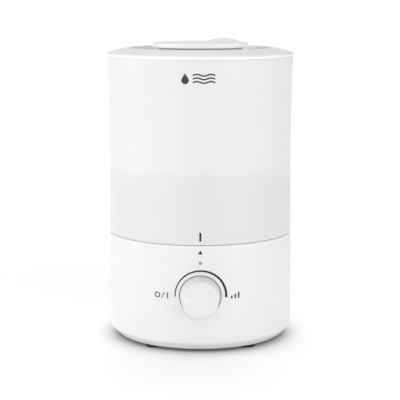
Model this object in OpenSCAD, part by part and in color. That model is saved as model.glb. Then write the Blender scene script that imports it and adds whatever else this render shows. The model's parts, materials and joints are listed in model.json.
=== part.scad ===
// Cool mist humidifier: a round base with a front control knob, a lift-off
// frosted water tank, a lift-off lid with a finger well, and a turning mist
// nozzle. Units are millimetres. The floor is z = 0 and the front faces -Y.
// The body's own axis stands at y = axis_y, so that the row origin is the
// centre of the footprint including the knob.

/* [Body] */
// Radius of the base wall at its top edge
base_r = 85.0; // [80:0.1:92]
// Radius of the base wall just above the bevel
base_low_r = 85.3; // [80:0.1:92]
// Height of the seam between base and tank
seam_z = 98.9; // [90:0.1:110]
// Wall thickness of the moulded outer shells
wall = 2.4; // [2:0.1:3]
// Height of the feet under the base
foot_h = 3; // [2:0.1:5]
// Radius of each rubber foot
foot_r = 6.5; // [5:0.1:8]

/* [Knob] */
// Height of the knob's axis above the floor
knob_z = 53.2; // [45:0.1:60]
// Radius of the round hole in the wall behind the knob
knob_hole_r = 18.8; // [17:0.1:22]
// Radius of the knob where it enters the wall
knob_r = 18.1; // [15:0.1:21]
// Radius of the knob next to its front chamfer
knob_front_r = 16.4; // [14:0.1:20]
// Distance of the knob's face from the body's axis
knob_face = 101.1; // [95:0.1:106]

/* [Tank] */
// Height of the parting line between tank and lid
tank_top_z = 261.2; // [240:0.1:270]
// Outer radius of the mist chimney
chimney_r = 19.5; // [15:0.1:24]
// Lift of the washer off its seat while the tank is on the base
valve_lift = 1.8; // [1:0.1:3]

/* [Lid and nozzle] */
// Outer radius of the lid's rim
lid_r = 85.9; // [80:0.1:92]
// Radius of the crest around the finger well
crest_r = 66; // [60:0.1:72]
// Radius of the turning nozzle disc
nozzle_r = 44; // [38:0.1:50]
// Height of the top of the nozzle's hood
hood_top_z = 276.9; // [275:0.1:282]

/* [Inside] */
// Outer radius of the water basin's bowl
bowl_r = 65.5; // [60:0.1:70]
// Height of the basin's flange
flange_z = 90; // [85:0.1:95]
// Size of the square fan
fan_size = 50; // [40:1:60]
// Height of the float's travel
float_travel = 7; // [4:0.5:10]

/* [Hidden] */

e = 0.1;
axis_y = 7.9;
in_r = 82.6;
fan_x = -38;
fan_y = 12;
float_x = 36;
float_y = 34;
valve_x = 38;
valve_y = -30;
hood_x = 22;
hood_y = 19;
bottom_xy = [[28, 61], [-28, 61], [28, -61], [-28, -61]];
feet_xy = [[43.3, 55], [-43.3, 55], [43.3, -55], [-43.3, -55]];
board_xy = [[4, -36], [52, -36], [4, 32], [52, 32]];
bracket_xz = [[-22, 38], [22, 38], [-22, 72], [22, 72]];
white = [0.94, 0.94, 0.93];
black = [0.08, 0.08, 0.08];
steel = [0.75, 0.75, 0.77];
green = [0.1, 0.35, 0.2];
grey = [0.55, 0.56, 0.58];
clear = [0.85, 0.88, 0.9, 0.45];
$fn = 96;

// Moves a part built round the body's own axis into the row frame.
module on_axis() {
  translate([0, axis_y, 0]) children();
}

// An eight-sided rod between two points, run on by x0 and x1 at its ends.
module rod(p, q, r, x0, x1) {
  d = q - p;
  l = norm(d);
  translate(p)
    rotate([0, acos(d[2] / l), atan2(d[1], d[0])])
      translate([0, 0, -x0]) cylinder(h = l + x0 + x1, r = r, $fn = 8);
}

// A wire of straight runs through a list of points.
module wire(pts, r) {
  n = len(pts);
  for (i = [0 : n - 2])
    rod(pts[i], pts[i + 1], r, i == 0 ? 0 : r * 0.4,
      i == n - 2 ? 0 : r * 0.4);
}

// A rod along +Y starting at y0.
module y_rod(x, y0, z, r, h) {
  translate([x, y0, z]) rotate([-90, 0, 0]) cylinder(h = h, r = r);
}

// A screw pointing down with its head on top at the origin.
module screw_down(head_r, head_h, shank_r, shank_l) {
  difference() {
    cylinder(h = head_h, r = head_r, $fn = 48);
    translate([-0.5, -head_r * 0.7, head_h - 0.8])
      cube([1, head_r * 1.4, 2]);
    translate([-head_r * 0.7, -0.5, head_h - 0.8])
      cube([head_r * 1.4, 1, 2]);
  }
  translate([0, 0, -shank_l])
    cylinder(h = shank_l + e, r = shank_r, $fn = 48);
}

// ---------------------------------------------------------------- base

module base_shell() {
  color(white) on_axis() difference() {
    union() {
      rotate_extrude($fn = 180) polygon([[77.4, 3.1], [77.6, 3.3],
        [84.3, 9.8], [85.2, 11.5], [base_low_r, 14], [base_r, 98],
        [84.6, 98.6], [in_r, 98.6], [in_r, 88.6], [78.6, 88.6],
        [78.6, 87.2], [in_r, 83.2], [in_r, 12.2], [77.4, 6.9]]);
      intersection() {
        union() {
          for (p = bottom_xy) translate([p[0], p[1], 5.4]) {
            cylinder(h = 22.6, r = 4, $fn = 48);
            rotate([0, 0, atan2(p[1], p[0])]) translate([2, -1, 8])
              cube([18, 2, 14.6]);
          }
          for (a = [45 : 90 : 315]) rotate([0, 0, a])
            translate([71, 0, 70]) {
              cylinder(h = 20, r = 3.5, $fn = 48);
              translate([2, -1, 0]) cube([14, 2, 17]);
            }
          for (p = bracket_xz)
            y_rod(p[0], -84, p[1], 3, 84 - 77.4);
        }
        cylinder(h = 95, r = 83.6, $fn = 180);
      }
    }
    for (p = bottom_xy) translate([p[0], p[1], 5])
      cylinder(h = 16, r = 1.6, $fn = 48);
    for (a = [45 : 90 : 315]) rotate([0, 0, a])
      translate([71, 0, 76]) cylinder(h = 15, r = 1.6, $fn = 48);
    for (p = bracket_xz) y_rod(p[0], -81, p[1], 1.1, 8);
    y_rod(0, -90, knob_z, knob_hole_r, 15, $fn = 128);
    y_rod(0, -90, 83, 1.4, 12, $fn = 48);
    y_rod(0, 80, 18, 4.2, 8, $fn = 64);
    // flat pocket behind the power inlet
    translate([-6.5, 78, 11.5]) cube([13, 4.8, 13]);
  }
}

module bottom_cover() {
  color(white) on_axis() difference() {
    union() {
      translate([0, 0, 3]) cylinder(h = 2.4, r = 77.1, $fn = 180);
      for (x = [-21, 21], y = [-21, 21])
        translate([fan_x + x, fan_y + y, 5.3])
          cylinder(h = 4.7, r = 3.4, $fn = 48);
      for (p = board_xy) translate([p[0], p[1], 5.3])
        cylinder(h = 8.7, r = 3, $fn = 48);
    }
    for (x = [-21, 21], y = [-21, 21])
      translate([fan_x + x, fan_y + y, 5.5])
        cylinder(h = 6, r = 1.1, $fn = 32);
    for (p = board_xy) translate([p[0], p[1], 7])
      cylinder(h = 8, r = 1.1, $fn = 32);
    for (p = feet_xy) translate([p[0], p[1], 2])
      cylinder(h = 2, r = foot_r + 0.1, $fn = 64);
    for (p = bottom_xy) translate([p[0], p[1], 2]) {
      cylinder(h = 4, r = 1.8, $fn = 48);
      cylinder(h = 2.4, r = 3.4, $fn = 48);
    }
    // intake grille under the fan
    for (i = [-4 : 4]) let (w = sqrt(22 * 22 - 25 * i * i * 0.999))
      translate([fan_x + i * 5 - 1.2, fan_y - w, 2])
        cube([2.4, 2 * w, 4]);
  }
}

module rubber_feet() {
  color(black) on_axis() for (p = feet_xy) translate([p[0], p[1], 0])
    rotate_extrude($fn = 64) polygon([[0, 0], [foot_r - 0.8, 0],
      [foot_r, 0.8], [foot_r, 4], [0, 4]]);
}

module bottom_screws() {
  color(steel) on_axis() for (p = bottom_xy)
    translate([p[0], p[1], 4.4]) mirror([0, 0, 1]) {
      difference() {
        cylinder(h = 1.3, r = 3.1, $fn = 48);
        translate([-0.5, -2, 0.6]) cube([1, 4, 2]);
        translate([-2, -0.5, 0.6]) cube([4, 1, 2]);
      }
      translate([0, 0, -14]) cylinder(h = 14.1, r = 1.55, $fn = 48);
    }
}

// ---------------------------------------------------------------- basin

module basin_tray() {
  color(white) on_axis() difference() {
    union() {
      rotate_extrude($fn = 180) polygon([[10, 58], [17.6, 58],
        [19.2, 59.6], [19.2, 62], [61.5, 62], [64, 63], [bowl_r, 65.5],
        [bowl_r, flange_z], [82.2, flange_z], [82.2, 94], [80.2, 94],
        [80.2, 92.2], [63.3, 92.2], [63.3, 66.4], [61, 64.2],
        [17, 64.2], [17, 60.2], [10, 60.2]]);
      translate([fan_x, fan_y, 62])
        cylinder(h = 26, r = 12, $fn = 96);
      translate([float_x, float_y, 63]) cylinder(h = 21, r = 3, $fn = 64);
      translate([valve_x, valve_y, 63])
        cylinder(h = 26.9, r = 4, $fn = 64);
      for (a = [0 : 90 : 270]) rotate([0, 0, a + 45])
        translate([13.8, 0, 54]) cylinder(h = 4.2, r = 2.6, $fn = 40);
    }
    translate([fan_x, fan_y, 61]) cylinder(h = 30, r = 10.5, $fn = 96);
    for (a = [45 : 90 : 315]) rotate([0, 0, a])
      translate([71, 0, 88]) cylinder(h = 6, r = 1.8, $fn = 48);
    for (a = [0 : 90 : 270]) rotate([0, 0, a + 45])
      translate([13.8, 0, 53]) cylinder(h = 5.6, r = 0.9, $fn = 32);
  }
}

module basin_gasket() {
  color(grey) on_axis() translate([0, 0, 88.6]) difference() {
    cylinder(h = 1.4, r = 82, $fn = 180);
    translate([0, 0, -1]) cylinder(h = 4, r = 79, $fn = 180);
  }
}

module basin_screws() {
  color(steel) on_axis() for (a = [45 : 90 : 315]) rotate([0, 0, a])
    translate([71, 0, 92.2]) screw_down(3.2, 2, 1.55, 15);
}

module float_cap() {
  color(white) on_axis() translate([float_x, float_y, 81.9])
    difference() {
      cylinder(h = 3.1, r = 6, $fn = 64);
      translate([0, 0, -1]) cylinder(h = 3.2, r = 3.05, $fn = 64);
    }
}

// ------------------------------------------------------------- controls

module control_bracket() {
  color(grey) on_axis() difference() {
    union() {
      translate([-26, -77.4, 34]) cube([52, 2, 46]);
      intersection() {
        y_rod(0, -84, knob_z, 21.4, 6.7, $fn = 128);
        cylinder(h = 100, r = 82.3, $fn = 180);
      }
    }
    y_rod(0, -90, knob_z, 19.4, 12.6, $fn = 128);
    y_rod(0, -90, knob_z, 3.6, 20, $fn = 48);
    for (p = bracket_xz) y_rod(p[0], -84, p[1], 1.3, 10, $fn = 32);
    for (p = bracket_xz) y_rod(p[0], -90, p[1], 3.3, 12.6, $fn = 48);
  }
}

module bracket_screws() {
  color(steel) on_axis() for (p = bracket_xz)
    translate([p[0], -75.4, p[1]]) rotate([-90, 0, 0])
      screw_down(2.4, 1.6, 1.05, 5);
}

module potentiometer_body() {
  color(grey) on_axis() difference() {
    union() {
      translate([-8.5, -75.4, knob_z - 8.5]) cube([17, 6, 17]);
      y_rod(0, -79.7, knob_z, 3.5, 4.4, $fn = 48);
    }
    y_rod(0, -80, knob_z, 3.05, 8, $fn = 48);
  }
}

module pot_shaft() {
  color(steel) on_axis() difference() {
    y_rod(0, -96, knob_z, 3, 22.5, $fn = 48);
    translate([-4, -97, knob_z + 1.6]) cube([8, 14, 4]);
  }
}

module control_board() {
  color(green) on_axis() difference() {
    translate([-20, -69.4, 34]) cube([40, 1.6, 54]);
    for (x = [-16, 16]) y_rod(x, -70, 84, 1.2, 3, $fn = 32);
  }
}

module indicator_led() {
  color([0.9, 0.9, 0.95]) on_axis() {
    y_rod(0, -74.5, 83, 1.5, 3.1, $fn = 48);
    translate([-2.5, -71.5, 80.5]) cube([5, 2.1, 5]);
  }
}

module light_pipe() {
  color(clear) on_axis() {
    y_rod(0, -84.9, 83, 1.3, 7.9, $fn = 48);
    y_rod(0, -79.2, 83, 3, 2.2, $fn = 48);
    translate([-2.6, -77.2, 80.4]) cube([5.2, 1.8, 5.2]);
  }
}

module control_knob() {
  color(white) on_axis() difference() {
    translate([0, 0, knob_z]) rotate([90, 0, 0])
      rotate_extrude($fn = 128) polygon([[0, 96.1], [0, knob_face],
        [14.9, knob_face], [15.9, 100.7], [knob_front_r, 99.7],
        [knob_r, 83.5], [knob_r, 80.2], [15.9, 80.2], [15.9, 84],
        [14.4, 98.4], [6, 98.4], [6, 82], [3.05, 82], [3.05, 96.1]]);
    // pointer: three short bars on the face
    translate([-13.7, -knob_face - 1, knob_z - 2.3]) cube([1, 1.3, 4.6]);
    translate([-11.4, -knob_face - 1, knob_z - 2.3]) cube([1, 1.3, 4.6]);
    translate([-9.1, -knob_face - 1, knob_z - 2.3]) cube([1, 1.3, 4.6]);
  }
  // drive key against the shaft's flat
  color(white) on_axis() translate([-2.2, -95.6, knob_z + 1.65])
    cube([4.4, 12, 0.9]);
}

// ---------------------------------------------------------- electronics

module main_board() {
  color(green) on_axis() difference() {
    translate([0, -40, 14]) cube([56, 76, 1.6]);
    for (p = board_xy) translate([p[0], p[1], 13])
      cylinder(h = 4, r = 1.3, $fn = 32);
  }
}

module board_screws() {
  color(steel) on_axis() for (p = board_xy)
    translate([p[0], p[1], 15.6]) screw_down(2.3, 1.5, 1.05, 7);
}

module heat_sink() {
  color(grey) on_axis() translate([34, -12, 15.6]) {
    cube([2.5, 30, 26]);
    for (i = [0 : 4]) translate([2, i * 6.5, 0]) cube([13, 1.6, 26]);
  }
}

module power_transistor() {
  color(black) on_axis() {
    translate([29.4, -2, 20]) cube([4.5, 10, 15]);
    for (y = [-0.5, 2.5, 5.5])
      translate([31, y, 15.6]) cube([0.8, 1, 4.5]);
  }
}

module board_capacitors() {
  color(black) on_axis() for (p = [[12, -22, 5, 20], [24, -24, 4, 16],
    [14, 20, 4, 14]]) translate([p[0], p[1], 15.6]) difference() {
      cylinder(h = p[3], r = p[2], $fn = 64);
      translate([-0.3, -3, p[3] - 0.4]) cube([0.6, 6, 1]);
    }
}

module board_inductor() {
  color([0.6, 0.35, 0.15]) on_axis() translate([16, 2, 21])
    rotate_extrude($fn = 96) translate([6.4, 0]) circle(r = 3, $fn = 36);
  color(black) on_axis() translate([16, 2, 15.6]) difference() {
    cylinder(h = 2, r = 9, $fn = 64);
    translate([0, 0, -1]) cylinder(h = 4, r = 4, $fn = 64);
  }
}

module board_connectors() {
  color(white) on_axis() for (p = [[22, 27, 8], [3.5, -14, 8],
    [36, -36, 10], [42, 26, 8]])
    translate([p[0], p[1], 15.6]) difference() {
      cube([p[2], 5, 7]);
      translate([0.8, 0.8, 1.5]) cube([p[2] - 1.6, 3.4, 7]);
    }
}

module dc_jack() {
  color(black) on_axis() difference() {
    union() {
      translate([-6, 68, 12]) cube([12, 14.3, 12]);
      y_rod(0, 82, 18, 4.0, 2.6, $fn = 64);
    }
    y_rod(0, 71, 18, 2.75, 15, $fn = 64);
  }
}

module jack_pin() {
  color(steel) on_axis() y_rod(0, 71, 18, 1, 12, $fn = 40);
}

module reed_switch() {
  color(black) on_axis() translate([float_x - 7, float_y - 3, 58.9])
    cube([14, 6, 3]);
}

// ------------------------------------------------------------ fan, duct

module fan_housing() {
  color(black) on_axis() translate([fan_x, fan_y, 10]) {
    difference() {
      translate([-fan_size / 2, -fan_size / 2, 0])
        cube([fan_size, fan_size, 15]);
      translate([0, 0, -1]) cylinder(h = 17, r = 23.2, $fn = 120);
      for (x = [-21, 21], y = [-21, 21]) translate([x, y, -1])
        cylinder(h = 17, r = 1.6, $fn = 32);
    }
    difference() {
      cylinder(h = 2.4, r = 9, $fn = 64);
      translate([0, 0, 1.2]) cylinder(h = 3, r = 1.3, $fn = 48);
    }
    for (a = [30 : 90 : 300]) rotate([0, 0, a])
      translate([8.5, -1.2, 0]) cube([15.4, 2.4, 1.8]);
  }
}

module fan_screws() {
  color(steel) on_axis() for (x = [-21, 21], y = [-21, 21])
    translate([fan_x + x, fan_y + y, 27]) screw_down(2.6, 1.6, 1.05, 21);
}

module fan_impeller() {
  color(black) on_axis() translate([fan_x, fan_y, 0]) {
    difference() {
      translate([0, 0, 13]) cylinder(h = 11, r = 9.4, $fn = 64);
      translate([0, 0, 12]) cylinder(h = 10.6, r = 8.2, $fn = 64);
    }
    translate([0, 0, 11.4]) cylinder(h = 12, r = 1.2, $fn = 48);
    for (i = [0 : 6]) rotate([0, 0, i * 360 / 7]) translate([8.8, 0, 18])
      rotate([38, 0, 0]) translate([0, -0.6, -6]) difference() {
        cube([13.4, 1.2, 12]);
      }
  }
}

module air_duct() {
  color(grey) on_axis() translate([fan_x, fan_y, 0]) difference() {
    union() {
      translate([-25, -25, 25]) cube([50, 50, 2]);
      translate([0, 0, 27]) cylinder(h = 12, r1 = 25, r2 = 12.8, $fn = 96);
      translate([0, 0, 38.9]) cylinder(h = 22.9, r = 12.8, $fn = 96);
    }
    translate([0, 0, 24]) cylinder(h = 3.01, r = 23.2, $fn = 96);
    translate([0, 0, 27]) cylinder(h = 12, r1 = 23.2, r2 = 11, $fn = 96);
    translate([0, 0, 38.9]) cylinder(h = 24, r = 11, $fn = 96);
    for (x = [-21, 21], y = [-21, 21]) translate([x, y, 24])
      cylinder(h = 4, r = 1.4, $fn = 32);
    for (x = [-21, 21], y = [-21, 21]) translate([x, y, 27])
      cylinder(h = 14, r = 3, $fn = 48);
  }
}

// ----------------------------------------------------------- transducer

module transducer_seal() {
  color(black) on_axis() translate([0, 0, 56.6]) difference() {
    cylinder(h = 1.4, r = 11.2, $fn = 96);
    translate([0, 0, -1]) cylinder(h = 4, r = 8.6, $fn = 96);
  }
}

module transducer_disc() {
  color(steel) on_axis() {
    translate([0, 0, 55.4]) cylinder(h = 1.2, r = 10, $fn = 96);
    translate([0, 0, 55.1]) cylinder(h = 0.4, r = 6.5, $fn = 96);
  }
}

module transducer_clamp() {
  color([0.72, 0.6, 0.3]) on_axis() difference() {
    translate([0, 0, 52.4]) cylinder(h = 1.6, r = 17, $fn = 96);
    translate([0, 0, 51]) cylinder(h = 4, r = 7.6, $fn = 96);
    for (a = [0 : 90 : 270]) rotate([0, 0, a + 45])
      translate([13.8, 0, 51]) cylinder(h = 4, r = 1.1, $fn = 32);
  }
  color([0.72, 0.6, 0.3]) on_axis() translate([0, 0, 53.9]) difference() {
    cylinder(h = 1.5, r = 9.8, $fn = 96);
    translate([0, 0, -1]) cylinder(h = 4, r = 7.6, $fn = 96);
  }
}

module transducer_screws() {
  color(steel) on_axis() for (a = [0 : 90 : 270]) rotate([0, 0, a + 45])
    translate([13.8, 0, 52.4]) mirror([0, 0, 1])
      screw_down(2, 1.4, 0.85, 5.4);
}

// ---------------------------------------------------------------- wires

module inlet_wires() {
  color([0.7, 0.1, 0.1]) on_axis() {
    wire([[-2, 67.9, 16], [-2, 60, 16], [23.6, 45, 28], [23.6, 29.5, 28],
      [23.6, 29.5, 17.2]], 0.7);
    wire([[2, 67.9, 19], [2, 62, 19], [27, 45, 28], [27, 29.5, 28],
      [27, 29.5, 17.2]], 0.7);
  }
}

module fan_wires() {
  color([0.1, 0.1, 0.1]) on_axis() {
    wire([[-12.9, -8, 20], [-6, -8, 20], [6, -12, 26], [6, -12, 17.2]],
      0.6);
    wire([[-12.9, -12, 20], [-6, -12, 24], [9, -12, 30], [9, -12, 17.2]],
      0.6);
  }
}

module transducer_wires() {
  color([0.8, 0.8, 0.8]) on_axis() {
    wire([[3, 1, 54.9], [3, 1, 46], [44, 28.5, 44], [44, 28.5, 17.2]],
      0.7);
    wire([[-3, 3, 54.9], [-3, 3, 42], [47.5, 33, 39], [47.5, 28.5, 34],
      [47.5, 28.5, 17.2]], 0.7);
  }
}

module control_wires() {
  color([0.5, 0.5, 0.5]) on_axis()
    for (i = [0 : 3]) wire([[6 + i * 2.6, -67.7, 40],
      [6 + i * 2.6, -60, 40], [37.6 + i * 2.2, -33.5, 30],
      [37.6 + i * 2.2, -33.5, 17.2]], 0.5);
}

// ---------------------------------------------------------------- float

module float_ring() {
  color([0.9, 0.5, 0.2]) on_axis() translate([float_x, float_y, 64.6])
    difference() {
      cylinder(h = 10.2, r = 12, $fn = 96);
      translate([0, 0, -1]) cylinder(h = 13, r = 3.1, $fn = 64);
      translate([0, 0, -1]) difference() {
        cylinder(h = 4, r = 7.2, $fn = 64);
        cylinder(h = 4, r = 4.4, $fn = 64);
      }
    }
}

module float_magnet() {
  color(steel) on_axis() translate([float_x, float_y, 64.7]) difference() {
    cylinder(h = 2.8, r = 7.1, $fn = 64);
    translate([0, 0, -1]) cylinder(h = 5, r = 4.5, $fn = 64);
  }
}

// ----------------------------------------------------------------- tank

module tank_shell() {
  color(clear) on_axis() rotate_extrude($fn = 180) polygon([
    [77.4, 92.3], [79.8, 92.3], [79.8, 99.2], [84.4, 99.2], [84.85, 99.9],
    [84.7, 121], [84.4, 152], [84.26, 189], [84.5, 207], [84.9, 234],
    [85.4, 249], [85.8, 257.5], [85.8, tank_top_z - 0.4],
    [85.4, tank_top_z], [83.6, tank_top_z], [83.4, 257], [83, 249],
    [82.5, 234], [82.1, 207], [81.86, 189], [82, 152], [82.3, 121],
    [82.4, 103.2], [80.8, 101.6], [77.4, 101.6]]);
}

module tank_floor() {
  color(clear) on_axis() difference() {
    translate([0, 0, 97]) cylinder(h = 2.4, r = 77.3, $fn = 180);
    translate([0, 0, 96]) cylinder(h = 5, r = chimney_r + 0.1, $fn = 96);
    translate([valve_x, valve_y, 96]) cylinder(h = 5, r = 6, $fn = 64);
  }
}

module mist_chimney() {
  color(clear) on_axis() rotate_extrude($fn = 120) polygon([[17.5, 88],
    [chimney_r, 88], [chimney_r, 99.5], [22.5, 99.5], [22.5, 101],
    [20.3, 102.5], [chimney_r, 104], [chimney_r, 249], [17.5, 249]]);
}

module valve_cap() {
  color(white) on_axis() translate([valve_x, valve_y, 95.4]) difference() {
    cylinder(h = 1.6, r = 9, $fn = 64);
    translate([0, 0, -1]) cylinder(h = 4, r = 2.25, $fn = 48);
    for (a = [0 : 60 : 300]) rotate([0, 0, a]) translate([4.4, 0, -1])
      cylinder(h = 4, r = 1.1, $fn = 32);
  }
}

module valve_plunger() {
  color(white) on_axis() translate([valve_x, valve_y, 0]) {
    translate([0, 0, 90]) cylinder(h = 1.4, r = 5, $fn = 64);
    translate([0, 0, 91.3]) cylinder(h = 14.1, r = 2.2, $fn = 48);
    translate([0, 0, 103.4]) cylinder(h = 2, r = 6, $fn = 64);
  }
}

module valve_washer() {
  color(grey) on_axis() translate([valve_x, valve_y, 101.3]) difference() {
    cylinder(h = 2.1, r = 8, $fn = 64);
    translate([0, 0, -1]) cylinder(h = 5, r = 2.25, $fn = 48);
  }
}

module valve_spring() {
  color(steel) on_axis() translate([valve_x, valve_y, 91.75])
    for (i = [0 : 3]) translate([0, 0, i * 1.06]) rotate_extrude($fn = 64)
      translate([3.4, 0]) circle(r = 0.33, $fn = 24);
  color(steel) on_axis() translate([valve_x, valve_y, 0])
    for (a = [0 : 120 : 240]) rotate([0, 0, a])
      translate([3.4, 0, 91.75]) cylinder(h = 3.18, r = 0.2, $fn = 12);
}

// ----------------------------------------------------------------- lid

module lid_shell() {
  color(white) on_axis() rotate_extrude($fn = 180) polygon([
    [20, 244], [22, 244], [22, 254.8], [59.6, 254.8], [62.6, 255.6],
    [64.8, 258.2], [67.4, 266.7], [70, 266.4], [75, 265.3], [80.2, 263.9],
    [80.2, 252], [82.2, 252], [82.2, 256], [81.2, 256], [81.2, 258],
    [82.2, 258], [82.2, 261.4], [lid_r, 261.4], [lid_r, 263.4],
    [85.6, 264.3], [84.7, 264.8], [80, 266.3], [75, 267.5], [70, 268.5],
    [67, 268.95], [crest_r, 269.05], [65.3, 268.65], [62.5, 259.5],
    [61, 257.6], [59, 257], [22, 257], [22, 259.6], [20, 259.6]]);
}

module lid_seal() {
  color(grey) on_axis() translate([0, 0, 256.1]) difference() {
    cylinder(h = 1.8, r = 82.9, $fn = 180);
    translate([0, 0, -1]) cylinder(h = 4, r = 81.3, $fn = 180);
  }
}

module hood_ball(drop) {
  rr = 48;
  translate([hood_x, hood_y, hood_top_z - drop - rr])
    sphere(r = rr, $fn = 160);
}

// Half space behind the hood's mouth, which faces back and to the right.
module behind_mouth() {
  translate([hood_x, hood_y, 0]) rotate([0, 0, -30])
    translate([-60, 3, 255]) cube([120, 60, 40]);
}

module nozzle_disc() {
  color(white) on_axis() difference() {
    union() {
      rotate_extrude($fn = 180) polygon([[0, 272.2], [42, 272.2],
        [42, 269.4], [nozzle_r, 269.4], [nozzle_r, 272.6],
        [43.7, 273.2], [43, 273.5], [38, 273.7], [0, 273.9]]);
      intersection() {
        hood_ball(0);
        translate([hood_x, hood_y, 272.6])
          cylinder(h = 10, r = 17.5, $fn = 96);
        translate([0, 0, 272.4]) cylinder(h = 10, r = 43, $fn = 180);
        difference() {
          translate([-60, -60, 272]) cube([120, 120, 10]);
          behind_mouth();
        }
      }
    }
    intersection() {
      hood_ball(1.3);
      translate([hood_x, hood_y, 260]) cylinder(h = 30, r = 10, $fn = 96);
    }
    // open half of the outlet behind the hood
    intersection() {
      translate([hood_x, hood_y, 260]) cylinder(h = 30, r = 10, $fn = 96);
      behind_mouth();
    }
  }
}

module nozzle_base() {
  color(white) on_axis() rotate_extrude($fn = 180) polygon([
    [17.9, 251], [19.9, 251], [19.9, 260], [29, 260], [40.6, 269.1],
    [40.6, 272.2], [39.4, 272.2], [39.4, 270.3], [28.3, 261.9],
    [17.9, 261.9]]);
}

base_shell();
bottom_cover();
rubber_feet();
bottom_screws();
basin_tray();
basin_gasket();
basin_screws();
control_bracket();
bracket_screws();
potentiometer_body();
control_board();
indicator_led();
light_pipe();
main_board();
board_screws();
heat_sink();
power_transistor();
board_capacitors();
board_inductor();
board_connectors();
dc_jack();
jack_pin();
fan_housing();
fan_screws();
air_duct();
transducer_disc();
transducer_seal();
transducer_clamp();
transducer_screws();
reed_switch();
float_cap();
inlet_wires();
fan_wires();
transducer_wires();
control_wires();
fan_impeller();
control_knob();
pot_shaft();
float_ring();
float_magnet();
tank_shell();
tank_floor();
mist_chimney();
valve_cap();
valve_plunger();
valve_washer();
valve_spring();
lid_shell();
lid_seal();
nozzle_disc();
nozzle_base();
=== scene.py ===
import json
import math

import bmesh
import bpy
import numpy as np
from mathutils import Matrix, Vector


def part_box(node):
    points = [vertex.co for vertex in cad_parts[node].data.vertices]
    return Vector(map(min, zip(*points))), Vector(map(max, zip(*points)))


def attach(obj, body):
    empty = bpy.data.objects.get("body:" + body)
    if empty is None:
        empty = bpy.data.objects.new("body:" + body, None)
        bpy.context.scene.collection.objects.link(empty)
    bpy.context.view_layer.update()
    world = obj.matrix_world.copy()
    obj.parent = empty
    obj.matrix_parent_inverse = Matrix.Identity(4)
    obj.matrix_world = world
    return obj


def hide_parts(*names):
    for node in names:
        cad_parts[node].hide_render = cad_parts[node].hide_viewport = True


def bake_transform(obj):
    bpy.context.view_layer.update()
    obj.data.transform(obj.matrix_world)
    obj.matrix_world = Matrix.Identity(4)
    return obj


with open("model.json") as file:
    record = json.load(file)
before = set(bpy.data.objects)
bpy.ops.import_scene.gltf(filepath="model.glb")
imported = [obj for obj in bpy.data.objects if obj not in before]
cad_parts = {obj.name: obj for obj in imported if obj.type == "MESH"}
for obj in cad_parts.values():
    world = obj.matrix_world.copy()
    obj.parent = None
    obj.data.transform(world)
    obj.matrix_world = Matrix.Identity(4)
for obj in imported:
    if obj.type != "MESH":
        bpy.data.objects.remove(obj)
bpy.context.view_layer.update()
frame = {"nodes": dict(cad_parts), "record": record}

AY = 7.9  # the body's axis stands at y = 7.9 mm in the row frame
SEG = 256
KNOB_Z = 53.2

# ------------------------------------------------------------------ meshes


def to_row(p):
    return (p[0] / 1000.0, (p[1] + AY) / 1000.0, p[2] / 1000.0)


def make(name, verts, faces, mats, sharp=32, material_index=None):
    """A mesh object from points in millimetres round the body's axis."""
    me = bpy.data.meshes.new(name)
    me.from_pydata([to_row(p) for p in verts], [], faces)
    bm = bmesh.new()
    bm.from_mesh(me)
    bmesh.ops.remove_doubles(bm, verts=bm.verts, dist=2e-7)
    bmesh.ops.recalc_face_normals(bm, faces=bm.faces)
    bm.to_mesh(me)
    bm.free()
    ob = bpy.data.objects.new(name, me)
    bpy.context.scene.collection.objects.link(ob)
    for m in mats:
        me.materials.append(m)
    shade(ob, sharp)
    return ob


def shade(ob, sharp=32):
    me = ob.data
    me.polygons.foreach_set("use_smooth", [True] * len(me.polygons))
    me.set_sharp_from_angle(angle=math.radians(sharp))


def fillet(points, steps=6):
    """A closed outline of (r, z) or (r, z, radius) with its corners rounded."""
    out = []
    n = len(points)
    for i in range(n):
        p = np.array(points[i][:2], float)
        rad = points[i][2] if len(points[i]) > 2 else 0.0
        if rad <= 0:
            out.append((p[0], p[1]))
            continue
        a = np.array(points[i - 1][:2], float) - p
        b = np.array(points[(i + 1) % n][:2], float) - p
        la, lb = np.linalg.norm(a), np.linalg.norm(b)
        a, b = a / la, b / lb
        half = math.acos(max(-1, min(1, float(a @ b)))) / 2
        if half > math.radians(89.5):
            out.append((p[0], p[1]))
            continue
        t = min(rad / math.tan(half), 0.48 * la, 0.48 * lb)
        r = t * math.tan(half)
        c = p + (a + b) / np.linalg.norm(a + b) * (r / math.sin(half))
        s, e = p + a * t - c, p + b * t - c
        t0, t1 = math.atan2(s[1], s[0]), math.atan2(e[1], e[0])
        while t1 - t0 > math.pi:
            t1 -= 2 * math.pi
        while t1 - t0 < -math.pi:
            t1 += 2 * math.pi
        for k in range(steps + 1):
            q = t0 + (t1 - t0) * k / steps
            out.append((c[0] + r * math.cos(q), c[1] + r * math.sin(q)))
    return out


def spun(outline, seg=SEG):
    """Points and faces of a closed outline turned round the Z axis."""
    n = len(outline)
    verts, faces = [], []
    for k in range(seg):
        c, s = math.cos(2 * math.pi * k / seg), math.sin(2 * math.pi * k / seg)
        verts += [(r * c, r * s, z) for r, z in outline]
    for k in range(seg):
        a, b = k * n, ((k + 1) % seg) * n
        for i in range(n):
            j = (i + 1) % n
            if outline[i][0] < 1e-9 and outline[j][0] < 1e-9:
                continue
            faces.append((a + i, b + i, b + j, a + j))
    return verts, faces


def facing_front(verts, z0=KNOB_Z):
    """Turns a lathe about +Z into one about the knob's axis, +Z going to -Y."""
    return [(x, -z, y + z0) for x, y, z in verts]


def lathe(name, outline, mats, seg=SEG, at=(0, 0, 0), front=False, sharp=32):
    v, f = spun(outline, seg)
    if front:
        v = facing_front(v)
    v = [(x + at[0], y + at[1], z + at[2]) for x, y, z in v]
    return make(name, v, f, mats, sharp)


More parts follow.
